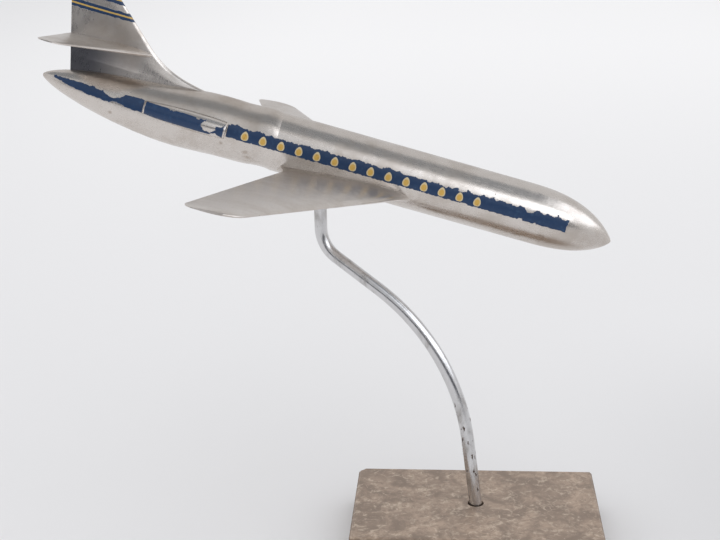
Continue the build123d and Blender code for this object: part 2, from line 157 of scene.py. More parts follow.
def grain(tree, place, size, detail=3.0, roughness=0.5, distortion=0.0):
    """Soft noise from 0 to 1 whose blotches are about size millimetres across."""
    node = tree.nodes.new("ShaderNodeTexNoise")
    feed(tree, node.inputs["Vector"], place)
    node.inputs["Scale"].default_value = 1.0 / size
    node.inputs["Detail"].default_value = detail
    node.inputs["Roughness"].default_value = roughness
    node.inputs["Distortion"].default_value = distortion
    return node.outputs["Fac"]


def cells(tree, place, size, feature="F1", output="Distance"):
    """Voronoi cells about size millimetres across."""
    node = tree.nodes.new("ShaderNodeTexVoronoi")
    node.feature = feature
    feed(tree, node.inputs["Vector"], place)
    node.inputs["Scale"].default_value = 1.0 / size
    return node.outputs[output]


def stretch(tree, place, scale):
    """The same place with its axes scaled, which draws a pattern out into streaks."""
    node = tree.nodes.new("ShaderNodeMapping")
    feed(tree, node.inputs["Vector"], place)
    node.inputs["Scale"].default_value = scale
    return node.outputs["Vector"]


def emboss(tree, shader, height):
    """Raises the surface by a height in millimetres, in its shading only."""
    node = tree.nodes.new("ShaderNodeBump")
    node.inputs["Strength"].default_value = 1.0
    node.inputs["Distance"].default_value = MM
    feed(tree, node.inputs["Height"], height)
    tree.links.new(node.outputs["Normal"], shader.inputs["Normal"])


print("helpers ready")

# %% [markdown]
# ## Two rulers
#
# A painted line has to follow the airliner, which sits tilted on its rod. Instead of turning the
# model level, the pattern is turned: a Mapping node takes a point of the tilted model back to the
# airliner's own axes, x to the nose, y to port and z up, in millimetres from the middle of the body.
# The stand has a plain ruler: the same millimetres without the turn.

# %% Rulers
AIRLINER_HEADING = 2.16
AIRLINER_NOSE_DOWN = 16.67
AIRLINER_BANK = -3.31
BODY_RADIUS = 16.05
HALF_BODY_LENGTH = 160.0
ROD_STATION = 161.8
rod_top = Vector(frame["joints"][1]["pos_m"]) / MM


def airliner_attitude():
    turns = ((AIRLINER_HEADING, "Z"), (AIRLINER_NOSE_DOWN, "Y"), (AIRLINER_BANK, "X"))
    matrix = Matrix.Identity(3)
    for degrees, axis in turns:
        matrix = matrix @ Matrix.Rotation(math.radians(degrees), 3, axis)
    return matrix


attitude = airliner_attitude()
body_middle = rod_top + attitude @ Vector((ROD_STATION - HALF_BODY_LENGTH, 0, BODY_RADIUS))


def ruler(tree, turn=Matrix.Identity(3), origin=Vector((0, 0, 0))):
    """The place on the surface in millimetres, along turned axes and from an origin."""
    where = tree.nodes.new("ShaderNodeTexCoord")
    node = tree.nodes.new("ShaderNodeMapping")
    back = turn.transposed()
    node.inputs["Scale"].default_value = (1 / MM, 1 / MM, 1 / MM)
    node.inputs["Rotation"].default_value = back.to_euler("XYZ")
    node.inputs["Location"].default_value = -(back @ origin)
    tree.links.new(where.outputs["Object"], node.inputs["Vector"])
    return node.outputs["Vector"]


def airliner_ruler(tree):
    return ruler(tree, attitude, body_middle)


def parts_of(tree, place):
    """The x, y and z of a place."""
    node = tree.nodes.new("ShaderNodeSeparateXYZ")
    tree.links.new(place, node.inputs["Vector"])
    return node.outputs["X"], node.outputs["Y"], node.outputs["Z"]


def station_of(tree, x):
    """Millimetres behind the nose tip."""
    return calc(tree, "SUBTRACT", HALF_BODY_LENGTH, x)


print("middle of the body at", [round(v, 1) for v in body_middle], "mm")

# %% [markdown]
# ## Worn cast aluminium
#
# The real casting was filed, polished by hand and then handled for decades. Three scales of detail
# make that: broad warm stains where polish and dirt stayed, a fine satin that changes from hand's
# breadth to hand's breadth, and small open pits, as sand castings have. A single roughness would look
# like a chrome toy, so stains, rubbing and pits all change the roughness as well as the colour.

# %% Cast metal
BRIGHT_METAL = (0.690, 0.645, 0.605)
STAINED_METAL = (0.440, 0.375, 0.315)
PIT_COLOUR = (0.10, 0.08, 0.065)
STAIN_SIZE = 22.0
SMUDGE_SIZE = 3.0
RUBBED_LINE_SIZE = 1.1
RUBBED_LINE_HEIGHT = 0.006
PIT_SPACING = 4.2
PIT_PATCH_SIZE = 9.0
PIT_DEPTH = 0.12
HAND_FILED_SIZE = 7.0
HAND_FILED_HEIGHT = 0.11


def cast_metal(tree, place, polish=0.24, stain=0.55, streak=(0.25, 1.0, 1.0), painted_shade=0.0):
    """Colour, roughness and height of hand-polished cast aluminium."""
    cloud = grain(tree, place, STAIN_SIZE, 5.0, 0.62)
    fine = grain(tree, place, SMUDGE_SIZE, 4.0, 0.6)
    rubbed = grain(tree, stretch(tree, place, streak), RUBBED_LINE_SIZE, 3.0, 0.6)
    stain_and_shade = calc(tree, "MULTIPLY", spread(tree, cloud, 0.40, 0.72), stain)
    stain_and_shade = calc(tree, "MULTIPLY_ADD", spread(tree, fine, 0.50, 0.80), 0.30 * stain, stain_and_shade)
    # The caller's painted shade darkens the colour on top of the real stains.
    stain_and_shade = calc(tree, "ADD", stain_and_shade, painted_shade)
    colour = dye(tree, stain_and_shade, BRIGHT_METAL, STAINED_METAL)

    hole = cells(tree, place, PIT_SPACING)
    sparse = spread(tree, grain(tree, place, PIT_PATCH_SIZE, 2.0), 0.55, 0.64)
    pit = calc(tree, "MULTIPLY", spread(tree, hole, 0.085, 0.035), sparse)
    colour = dye(tree, calc(tree, "MULTIPLY", pit, 0.55), colour, PIT_COLOUR)

    rough = calc(tree, "MULTIPLY_ADD", stain_and_shade, 0.16, polish)
    rough = calc(tree, "MULTIPLY_ADD", spread(tree, rubbed, 0.35, 0.75), 0.07, rough)
    rough = calc(tree, "MULTIPLY_ADD", pit, 0.3, rough)

    filed = calc(tree, "MULTIPLY", grain(tree, place, HAND_FILED_SIZE, 2.0, 0.5), HAND_FILED_HEIGHT)
    height = calc(tree, "MULTIPLY_ADD", rubbed, RUBBED_LINE_HEIGHT, filed)
    height = calc(tree, "MULTIPLY_ADD", pit, -PIT_DEPTH, height)
    return colour, rough, height


def make_plain_casting(name, polish, stain, streak):
    material, tree, shader = new_finish(name, metallic=1.0)
    colour, rough, height = cast_metal(tree, airliner_ruler(tree), polish, stain, streak)
    feed(tree, shader.inputs["Base Color"], colour)
    feed(tree, shader.inputs["Roughness"], rough)
    emboss(tree, shader, height)
    return material


wing_finish = make_plain_casting("satin_wing_metal", 0.30, 0.42, (1.0, 0.12, 1.0))
tail_finish = make_plain_casting("satin_tailplane_metal", 0.28, 0.50, (1.0, 0.2, 1.0))
print("cast metal:", len(wing_finish.node_tree.nodes), "nodes")

# %% [markdown]
# ## Navy paint that has chipped
#
# The line along the cabin is brushed enamel. It is not a picture on the metal but a distance: every
# point gets the distance to the nearest edge of the paint, and the paint is where that distance is
# above zero. Adding noise to a distance makes a ragged edge, and taking the smallest of several
# distances cuts bites out, so a few listed ellipses give the bigger chips.

# %% Paint over metal
NAVY = (0.0035, 0.0315, 0.1000)
SCUFFED_NAVY = (0.014, 0.062, 0.150)
PAINT_ROUGHNESS = 0.36
PAINT_FILM = 0.05


def edge_above(tree, value, limit):
    """Distance inside an edge that the value has to stay above."""
    return calc(tree, "SUBTRACT", value, limit)


def edge_below(tree, value, limit):
    """Distance inside an edge that the value has to stay below."""
    return calc(tree, "SUBTRACT", limit, value)


def bite(tree, station, height, where):
    """Distance outside an elliptical chip: its station, height, half length and half height."""
    at, up, long, tall = where
    along = calc(tree, "DIVIDE", calc(tree, "SUBTRACT", station, at), long / tall)
    across = calc(tree, "SUBTRACT", height, up)
    along_squared = calc(tree, "POWER", calc(tree, "ABSOLUTE", along), 2.0)
    across_squared = calc(tree, "POWER", calc(tree, "ABSOLUTE", across), 2.0)
    reach = calc(tree, "SQRT", calc(tree, "ADD", along_squared, across_squared))
    return calc(tree, "SUBTRACT", reach, tall)


def ragged(tree, place, distance, amount, size):
    """The same distance with a torn edge that wanders by about amount millimetres."""
    noise = grain(tree, place, size, 4.0, 0.65)
    wander = calc(tree, "MULTIPLY_ADD", noise, 2 * amount, -amount)
    return calc(tree, "ADD", distance, wander)


def paint_on(tree, shader, place, metal, distance):
    """Mixes enamel over metal where the distance is above zero."""
    metal_colour, metal_rough, metal_height = metal
    film = spread(tree, distance, -0.09, 0.09)
    scuff = spread(tree, grain(tree, place, 2.2, 4.0, 0.7), 0.52, 0.78)
    enamel = dye(tree, scuff, NAVY, SCUFFED_NAVY)
    feed(tree, shader.inputs["Base Color"], dye(tree, film, metal_colour, enamel))
    feed(tree, shader.inputs["Metallic"], calc(tree, "SUBTRACT", 1.0, film))
    enamel_rough = calc(tree, "MULTIPLY_ADD", scuff, 0.18, PAINT_ROUGHNESS)
    change = calc(tree, "SUBTRACT", enamel_rough, metal_rough)
    feed(tree, shader.inputs["Roughness"], calc(tree, "MULTIPLY_ADD", change, film, metal_rough))
    emboss(tree, shader, calc(tree, "MULTIPLY_ADD", film, PAINT_FILM, metal_height))
    return film


print("paint helpers ready")

# %% [markdown]
# ## The fuselage and its cheat line
#
# Two lengths of line are painted on the body: a long one from behind the nose to the engine pod, and
# a short one that narrows towards the tail. Their upper edges are torn most, because that is where
# thumbs have rubbed. Each chip that matters is an ellipse: its station, its height, half its length and
# half its height. The small brown spots on the underside are written in the same way.

# %% Fuselage finish
LINE_TOP = 4.5
LINE_BOTTOM = -2.4
LINE_FRONT_STATION = 28.5
LINE_REAR_STATION = 216.5
TAIL_LINE_FRONT_STATION = 262.2
TAIL_LINE_END_STATION = 313.0
TAIL_LINE_END_TOP = 2.7
TAIL_LINE_END_BOTTOM = 1.6
# Painted shade: the stations over which the crown above the line darkens towards the tail, and by how
# much.
CROWN_SHADE_STATIONS = (110.0, 235.0)
CROWN_SHADE_AMOUNT = 0.30
SPOT_BROWN = (0.26, 0.19, 0.13)
BROWN_SPOTS = (
    (279.0, -7.5, 1.0, 0.9), (204.5, -8.0, 1.6, 0.9), (203.0, -10.5, 2.0, 0.7), (218.0, -6.5, 0.9, 0.8),
    (40.0, -8.0, 1.8, 0.8), (53.0, -11.5, 3.0, 0.7), (98.0, -11.0, 7.0, 1.1),
)
LINE_CHIPS = (
    (31.0, 5.4, 2.6, 1.9), (36.5, 5.0, 1.5, 1.3), (43.0, 5.2, 2.2, 1.2), (50.5, 4.6, 2.4, 1.9),
    (58.0, 5.0, 1.8, 0.9), (54.0, -2.6, 1.6, 1.1), (46.0, -2.6, 1.0, 0.8), (88.0, 5.0, 2.2, 1.5),
    (97.5, 5.2, 2.4, 1.6), (106.0, 5.2, 1.9, 1.4), (85.0, -2.8, 2.4, 0.9), (118.0, 5.4, 2.2, 1.2),
    (149.5, 5.8, 3.4, 1.6), (160.0, 5.6, 2.2, 1.1), (178.0, 5.6, 2.6, 1.3), (190.0, 5.4, 3.0, 1.2),
    (279.5, 5.6, 6.5, 4.9), (276.5, -4.4, 5.5, 3.4), (287.0, 4.6, 3.4, 2.2), (297.5, -2.2, 1.8, 1.2),
    (292.5, 4.0, 1.5, 1.2), (304.0, 3.9, 1.6, 0.7), (302.0, -1.6, 1.6, 0.8),
)


def cheat_line(tree, place):
    """Distance inside the painted line along the body."""
    x, y, z = parts_of(tree, place)
    station = station_of(tree, x)
    top = ragged(tree, place, edge_below(tree, z, LINE_TOP), 2.6, 3.6)
    bottom = ragged(tree, place, edge_above(tree, z, LINE_BOTTOM), 1.1, 2.6)
    front = ragged(tree, place, edge_above(tree, station, LINE_FRONT_STATION), 1.6, 2.2)
    rear = edge_below(tree, station, LINE_REAR_STATION)
    cabin = smallest(tree, [top, bottom, front, rear])

    length = TAIL_LINE_END_STATION - TAIL_LINE_FRONT_STATION
    done = calc(tree, "DIVIDE", calc(tree, "SUBTRACT", station, TAIL_LINE_FRONT_STATION), length)
    rise = calc(tree, "POWER", calc(tree, "MAXIMUM", done, 0.0), 3.0)
    top_here = calc(tree, "MULTIPLY_ADD", done, TAIL_LINE_END_TOP - LINE_TOP, LINE_TOP)
    lift = TAIL_LINE_END_BOTTOM - LINE_BOTTOM
    bottom_here = calc(tree, "MULTIPLY_ADD", rise, lift, LINE_BOTTOM)
    above = ragged(tree, place, calc(tree, "SUBTRACT", top_here, z), 1.2, 3.2)
    below = ragged(tree, place, calc(tree, "SUBTRACT", z, bottom_here), 1.1, 2.4)
    start = edge_above(tree, station, TAIL_LINE_FRONT_STATION)
    end = ragged(tree, place, edge_below(tree, station, TAIL_LINE_END_STATION), 1.0, 2.0)
    tail = smallest(tree, [above, below, start, end])

    line = calc(tree, "MAXIMUM", cabin, tail)
    chips = [ragged(tree, place, bite(tree, station, z, chip), 1.1, 2.0) for chip in LINE_CHIPS]
    return smallest(tree, [line] + chips)


def make_fuselage_finish():
    material, tree, shader = new_finish("painted_fuselage_metal")
    place = airliner_ruler(tree)
    x, y, z = parts_of(tree, place)
    station = station_of(tree, x)
    # Painted shade: the crown above the cheat line is darkened towards the tail, standing in for the
    # highlight that dims there.
    shaded_tail_crown = calc(tree, "MULTIPLY", spread(tree, station, *CROWN_SHADE_STATIONS), spread(tree, z, 3.0, 8.0))
    painted_shade = calc(tree, "MULTIPLY", shaded_tail_crown, CROWN_SHADE_AMOUNT)
    colour, rough, height = cast_metal(tree, place, 0.22, 0.50, (0.2, 1.0, 1.0), painted_shade)
    for spot in BROWN_SPOTS:
        edge = ragged(tree, place, bite(tree, station, z, spot), 0.9, 1.6)
        colour = dye(tree, spread(tree, edge, 0.5, -0.6, 0.0, 0.45), colour, SPOT_BROWN)
    paint_on(tree, shader, place, (colour, rough, height), cheat_line(tree, place))
    return material


fuselage_finish = make_fuselage_finish()
print("fuselage:", len(LINE_CHIPS), "hand-placed chips,", len(fuselage_finish.node_tree.nodes), "nodes")

# %% [markdown]
# ## Engine pods
#
# The line goes on over the pods, which were filed bright at both ends. So the pods use the same paint
# with their own limits: bare metal rings at the front and rear, and one large chip near the front.

# %% Nacelle finish
POD_FRONT_STATION = 217.0
POD_REAR_STATION = 262.0
POD_BARE_END = 1.0
POD_LINE_TOP = 4.1
POD_LINE_BOTTOM = -3.1
POD_CHIPS = (
    (226.0, 1.2, 3.9, 2.9), (221.0, 3.6, 3.0, 1.4), (231.5, 4.6, 3.0, 1.0), (222.0, -3.2, 2.6, 1.3),
    (246.0, 4.4, 2.2, 0.7),
)


def make_nacelle_finish():
    material, tree, shader = new_finish("painted_pod_metal")
    place = airliner_ruler(tree)
    x, y, z = parts_of(tree, place)
    station = station_of(tree, x)
    edges = [
        ragged(tree, place, edge_below(tree, z, POD_LINE_TOP), 0.35, 3.0),
        ragged(tree, place, edge_above(tree, z, POD_LINE_BOTTOM), 0.35, 2.4),
        ragged(tree, place, edge_above(tree, station, POD_FRONT_STATION + POD_BARE_END), 0.3, 1.4),
        ragged(tree, place, edge_below(tree, station, POD_REAR_STATION - POD_BARE_END), 0.3, 1.4),
    ]
    chips = [ragged(tree, place, bite(tree, station, z, chip), 1.3, 2.0) for chip in POD_CHIPS]
    metal = cast_metal(tree, place, 0.24, 0.55)
    paint_on(tree, shader, place, metal, smallest(tree, edges + chips))
    return material


nacelle_finish = make_nacelle_finish()
print("nacelle:", len(nacelle_finish.node_tree.nodes), "nodes")

# %% [markdown]
# ## Fin
#
# The fin carries plain bands: two navy ones with a thin gold line in each. A band is a distance too,
# half its width minus the distance from its middle, so all of them share the chipped paint. Towards the
# rear the fin's foot is dyed dark grey: a painted reflection of the darker room.

# %% Fin finish
GOLD_LINE = (0.55, 0.36, 0.09)
FIN_BANDS = ((42.2, 1.9), (49.6, 2.2))
GOLD_BANDS = ((42.2, 0.42), (49.6, 0.42))
# Painted reflection: the dark grey and the heights and stations where the fin's foot takes it.
FOOT_REFLECTION_GREY = (0.15, 0.15, 0.165)
PAINTED_REFLECTION_TOP = 32.0
PAINTED_REFLECTION_FULL = 19.0
PAINTED_REFLECTION_STATIONS = (270.0, 298.0)


def band(tree, height, middle, half_width):
    """Distance inside a level band."""
    from_middle = calc(tree, "ABSOLUTE", calc(tree, "SUBTRACT", height, middle))
    return calc(tree, "SUBTRACT", half_width, from_middle)


def make_fin_finish():
    material, tree, shader = new_finish("banded_fin_metal")
    place = airliner_ruler(tree)
    x, y, z = parts_of(tree, place)
    navy = calc(tree, "MAXIMUM", *[band(tree, z, *wide) for wide in FIN_BANDS])
    gold = calc(tree, "MAXIMUM", *[band(tree, z, *thin) for thin in GOLD_BANDS])
    colour, rough, height = cast_metal(tree, place, 0.26, 0.55, (1.0, 1.0, 0.2))
    # Painted reflection: the lower rear of the fin is dyed dark grey.
    rear = spread(tree, station_of(tree, x), *PAINTED_REFLECTION_STATIONS)
    painted_reflection = calc(tree, "MULTIPLY", spread(tree, z, PAINTED_REFLECTION_TOP, PAINTED_REFLECTION_FULL), rear)
    colour = dye(tree, painted_reflection, colour, FOOT_REFLECTION_GREY)
    film = paint_on(tree, shader, place, (colour, rough, height), ragged(tree, place, navy, 0.8, 2.6))
    painted = shader.inputs["Base Color"].links[0].from_socket
    gilt = calc(tree, "MULTIPLY", spread(tree, ragged(tree, place, gold, 0.25, 1.2), -0.06, 0.06), film)
    feed(tree, shader.inputs["Base Color"], dye(tree, gilt, painted, GOLD_LINE))
    return material


fin_finish = make_fin_finish()
print("fin:", len(FIN_BANDS), "bands,", len(fin_finish.node_tree.nodes), "nodes")

# %% [markdown]
# ## Gold windows
#
# Each window is a pane of gold transfer film with a pale rim where the film has dried thin. The panes
# repeat every few millimetres, so the rim is found by folding the station into one pitch and measuring
# how far a point is from the middle of its own pane. The gold sits a little low in the egg shape.

# %% Window finish
WINDOW_FIRST_STATION = 78.7
WINDOW_PITCH = 9.84
WINDOW_HALF_WIDTH = 2.0
WINDOW_HALF_HEIGHT = 2.45
WINDOW_MIDDLE_HEIGHT = 0.7
FILM_SINK = 0.4
GOLD_FILM = (0.60, 0.37, 0.075)
PALE_RIM = (0.60, 0.50, 0.30)
WORN_GOLD = (0.36, 0.20, 0.055)


def make_window_finish():
    material, tree, shader = new_finish("gold_window_film", roughness=0.45)
    place = airliner_ruler(tree)
    x, y, z = parts_of(tree, place)
    shifted = calc(tree, "SUBTRACT", station_of(tree, x), WINDOW_FIRST_STATION - WINDOW_PITCH / 2)
    along = calc(tree, "SUBTRACT", calc(tree, "FLOORED_MODULO", shifted, WINDOW_PITCH), WINDOW_PITCH / 2)
    across = calc(tree, "DIVIDE", along, WINDOW_HALF_WIDTH)
    above = calc(tree, "SUBTRACT", z, WINDOW_MIDDLE_HEIGHT - FILM_SINK)
    upward = calc(tree, "DIVIDE", above, WINDOW_HALF_HEIGHT)
    across_squared = calc(tree, "MULTIPLY", across, across)
    reach = calc(tree, "ADD", across_squared, calc(tree, "MULTIPLY", upward, upward))
    rim = spread(tree, ragged(tree, place, reach, 0.14, 0.9), 0.34, 0.66)
    worn = spread(tree, grain(tree, place, 1.3, 3.0, 0.6), 0.56, 0.74, 0.0, 0.7)
    colour = dye(tree, rim, dye(tree, worn, GOLD_FILM, WORN_GOLD), PALE_RIM)
    feed(tree, shader.inputs["Base Color"], colour)
    feed(tree, shader.inputs["Roughness"], calc(tree, "MULTIPLY_ADD", worn, 0.25, 0.38))
    emboss(tree, shader, calc(tree, "MULTIPLY", grain(tree, place, 0.8, 2.0), 0.03))
    return material


window_finish = make_window_finish()
print("windows:", len(window_finish.node_tree.nodes), "nodes")

# %% [markdown]
# ## The rod
#
# A drawn bar, bent cold and polished along its length. It keeps fine lines from the drawing die, and
# near its foot, where damp stayed, it has dark pits that run along the bar. The pits are noise drawn
# out along z, few above a height and more below it.

# %% Rod finish
ROD_METAL = (0.68, 0.675, 0.68)
ROD_DULL = (0.40, 0.385, 0.37)
ROD_RUST = (0.10, 0.065, 0.045)
RUST_TOP = 112.0
RUST_FULL = 62.0
DRAWN_LINE_HEIGHT = 0.008
RUST_DEPTH = 0.10


def make_rod_finish():
    material, tree, shader = new_finish("drawn_rod_metal", metallic=1.0)
    place = ruler(tree)
    x, y, z = parts_of(tree, place)
    lines = grain(tree, stretch(tree, place, (1.0, 1.0, 0.06)), 0.9, 3.0, 0.6)
    cloud = grain(tree, stretch(tree, place, (1.0, 1.0, 0.4)), 7.0, 4.0, 0.6)
    dull = spread(tree, cloud, 0.45, 0.75)
    low = spread(tree, z, RUST_TOP, RUST_FULL)
    patches = grain(tree, stretch(tree, place, (1.0, 1.0, 0.42)), 2.6, 4.0, 0.65)
    threshold = calc(tree, "MULTIPLY_ADD", low, -0.15, 0.74)
    rust = spread(tree, calc(tree, "SUBTRACT", patches, threshold), 0.0, 0.05)
    colour = dye(tree, rust, dye(tree, dull, ROD_METAL, ROD_DULL), ROD_RUST)
    feed(tree, shader.inputs["Base Color"], colour)
    rough = calc(tree, "MULTIPLY_ADD", spread(tree, lines, 0.35, 0.7), 0.10, 0.17)
    rough = calc(tree, "MULTIPLY_ADD", dull, 0.12, rough)
    feed(tree, shader.inputs["Roughness"], calc(tree, "MULTIPLY_ADD", rust, 0.35, rough))
    height = calc(tree, "MULTIPLY", lines, DRAWN_LINE_HEIGHT)
    emboss(tree, shader, calc(tree, "MULTIPLY_ADD", rust, -RUST_DEPTH, height))
    return material


rod_finish = make_rod_finish()
print("rod:", len(rod_finish.node_tree.nodes), "nodes")

# %% [markdown]
# ## Brass and steel fittings
#
# The bush in the belly is turned brass, the fastenings under the base are plated steel. Both keep
# turning marks, rings round their own axis, and a little dirt. They are small, but they show from
# below, so they get a finish of their own.

# %% Fitting finishes
BRASS = (0.62, 0.43, 0.17)
TARNISHED_BRASS = (0.25, 0.15, 0.06)
STEEL = (0.52, 0.52, 0.53)
OILY_STEEL = (0.22, 0.20, 0.18)
RING_TURN = 22.0
RING_HEIGHT = 0.006


def make_turned_finish(name, clean, dirty, centre):
    material, tree, shader = new_finish(name, metallic=1.0)
    place = ruler(tree, origin=centre)
    x, y, z = parts_of(tree, place)
    squares = calc(tree, "ADD", calc(tree, "MULTIPLY", x, x), calc(tree, "MULTIPLY", y, y))
    from_axis = calc(tree, "SQRT", squares)
    turned = calc(tree, "MULTIPLY", calc(tree, "ADD", from_axis, z), RING_TURN)
    rings = calc(tree, "SINE", turned)
    stain = spread(tree, grain(tree, place, 4.0, 4.0, 0.6), 0.42, 0.70)
    feed(tree, shader.inputs["Base Color"], dye(tree, stain, clean, dirty))
    feed(tree, shader.inputs["Roughness"], calc(tree, "MULTIPLY_ADD", stain, 0.25, 0.24))
    emboss(tree, shader, calc(tree, "MULTIPLY", rings, RING_HEIGHT))
    return material


bush_axis = Vector((rod_top.x, rod_top.y, 0))
brass_finish = make_turned_finish("turned_brass", BRASS, TARNISHED_BRASS, bush_axis)
steel_finish = make_turned_finish("plated_steel", STEEL, OILY_STEEL, Vector((0, 0, 0)))
print("fittings:", brass_finish.name, "and", steel_finish.name)

# %% [markdown]
# ## Mottled limestone
#
# The block is a warm brown-grey limestone, honed on top and left sawn and chipped along its sides.
# Its look has five layers: clouds of darker and lighter mud, pale crackled veins between shell
# fragments, dark blots, finer specks, and on the sides a coarser, browner skin. Veins come from the
# distance to the edge between Voronoi cells, bent by noise so that they do not look like a net.

# %% Stone finish
STONE_MIDDLE = (0.410, 0.305, 0.230)
STONE_DARK = (0.225, 0.165, 0.124)
STONE_PALE = (0.600, 0.490, 0.385)
STONE_RUST = (0.270, 0.170, 0.098)
CLOUD_SIZE = 16.0
MUD_SIZE = 5.5
BLOT_SIZE = 3.6
SPECK_SIZE = 1.1
SHELL_SIZE = 8.0
SHELL_BEND = 9.0
SAW_MARK_SIZE = 2.2
TOP_FACE_DEPTH = (1.6, 0.2)
# Painted shade on the sides of the block, which face away from the light above.
SIDE_PAINTED_SHADE = 0.60
slab_low, slab_high = (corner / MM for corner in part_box("base_slab"))


def make_stone_finish():
    material, tree, shader = new_finish("mottled_limestone")
    place = ruler(tree)
    x, y, z = parts_of(tree, place)
    cloud = grain(tree, place, CLOUD_SIZE, 6.0, 0.62, 0.6)
    mud = grain(tree, place, MUD_SIZE, 5.0, 0.60, 1.4)
    bent = tree.nodes.new("ShaderNodeVectorMath")
    bent.operation = "MULTIPLY_ADD"
    noise = tree.nodes.new("ShaderNodeTexNoise")
    noise.inputs["Scale"].default_value = 0.2
    noise.inputs["Detail"].default_value = 3.0
    tree.links.new(place, noise.inputs["Vector"])
    tree.links.new(noise.outputs["Color"], bent.inputs[0])
    bent.inputs[1].default_value = (SHELL_BEND,) * 3
    tree.links.new(place, bent.inputs[2])
    to_edge = cells(tree, bent.outputs["Vector"], SHELL_SIZE, "DISTANCE_TO_EDGE")
    veins = spread(tree, to_edge, 0.07, 0.0)
    veins = calc(tree, "MULTIPLY", veins, spread(tree, grain(tree, place, 6.0, 3.0), 0.46, 0.62))

    colour = dye(tree, spread(tree, cloud, 0.35, 0.65), STONE_DARK, STONE_MIDDLE)
    colour = dye(tree, spread(tree, mud, 0.50, 0.72, 0.0, 0.75), colour, STONE_PALE)
    colour = dye(tree, calc(tree, "MULTIPLY", veins, 0.45), colour, STONE_PALE)
    blots = spread(tree, grain(tree, place, BLOT_SIZE, 6.0, 0.72, 0.8), 0.48, 0.62, 0.0, 0.70)
    colour = dye(tree, blots, colour, STONE_DARK)
    specks = spread(tree, grain(tree, place, SPECK_SIZE, 4.0, 0.75), 0.58, 0.70, 0.0, 0.55)
    colour = dye(tree, specks, colour, STONE_DARK)

    top_face = spread(tree, z, slab_high.z - TOP_FACE_DEPTH[0], slab_high.z - TOP_FACE_DEPTH[1])
    side = calc(tree, "SUBTRACT", 1.0, top_face)
    skin = calc(tree, "MULTIPLY", side, spread(tree, grain(tree, place, 4.0, 5.0, 0.7), 0.38, 0.62))
    colour = dye(tree, calc(tree, "MULTIPLY", skin, 0.55), colour, STONE_RUST)
    # Painted shade: the sides are darkened towards black.
    colour = dye(tree, calc(tree, "MULTIPLY", side, 1 - SIDE_PAINTED_SHADE), colour, (0.0, 0.0, 0.0))
    feed(tree, shader.inputs["Base Color"], colour)
    rough = calc(tree, "MULTIPLY_ADD", specks, 0.2, 0.42)
    feed(tree, shader.inputs["Roughness"], calc(tree, "MULTIPLY_ADD", side, 0.3, rough))

    roughly = calc(tree, "MULTIPLY_ADD", side, 0.55, 0.03)
    sawn = calc(tree, "MULTIPLY", grain(tree, place, SAW_MARK_SIZE, 6.0, 0.7), roughly)
    height = calc(tree, "MULTIPLY_ADD", specks, -0.06, sawn)
    emboss(tree, shader, calc(tree, "MULTIPLY_ADD", veins, 0.03, height))
    return material


stone_finish = make_stone_finish()
print("stone:", len(stone_finish.node_tree.nodes), "nodes, slab top at", round(slab_high.z, 1), "mm")

# %% [markdown]
# ## Giving the finishes to the CAD parts
# A CAD part whose shape is right stays as it is and only gets a better material. One table says which
# part wears which finish, and a part that the table leaves out gets plated steel. One table says which
# part wears which finish, so nothing is forgotten: the loop stops on a part without one.

# %% Assign finishes
FINISH_OF = {
    "base_slab": stone_finish,
    "support_rod": rod_finish,
    "fuselage_casting": fuselage_finish,
    "wing_port": wing_finish,
    "wing_starboard": wing_finish,
    "fin": fin_finish,
    "tailplane_port": tail_finish,
    "tailplane_starboard": tail_finish,
    "nacelle_port": nacelle_finish,
    "nacelle_starboard": nacelle_finish,
    "windows_port": window_finish,
    "windows_starboard": window_finish,
    "belly_bush": brass_finish,
}

for name, node in nodes.items():
    node.data.materials.clear()
    node.data.materials.append(FINISH_OF.get(name, steel_finish))
print("finishes:", len(FINISH_OF), "named,", len(nodes) - len(FINISH_OF), "parts in steel")

# %% [markdown]
# ## Felt pad
#
# Green felt is glued under the block so that it does not scratch the desk. It is a soft sheet cut with
# scissors: its corners are round and its edge wanders. It is made from a grid, extruded to its
# thickness, with the rim bevelled soft and pushed in and out by a slow wave.

# %% Felt pad
FELT_GREEN = (0.020, 0.036, 0.026)
FELT_FLUFF = (0.075, 0.100, 0.080)
FELT_RIM_RADIUS = 0.4 * MM
CUT_WANDER = 0.22 * MM
felt_low, felt_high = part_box("base_felt")


def make_felt_finish():
    material, tree, shader = new_finish("green_felt", roughness=0.95)
    shader.inputs["Sheen Weight"].default_value = 0.4
    shader.inputs["Sheen Roughness"].default_value = 0.5
    place = ruler(tree)
    fibres = grain(tree, stretch(tree, place, (1.0, 0.35, 1.0)), 0.5, 4.0, 0.75, 1.5)
    tufts = grain(tree, place, 2.4, 3.0, 0.6)
    loose = spread(tree, fibres, 0.40, 0.75)
    share = calc(tree, "MULTIPLY", loose, spread(tree, tufts, 0.2, 0.8, 0.4, 1.0))
    feed(tree, shader.inputs["Base Color"], dye(tree, share, FELT_GREEN, FELT_FLUFF))
    emboss(tree, shader, calc(tree, "MULTIPLY", fibres, 0.16))
    return material


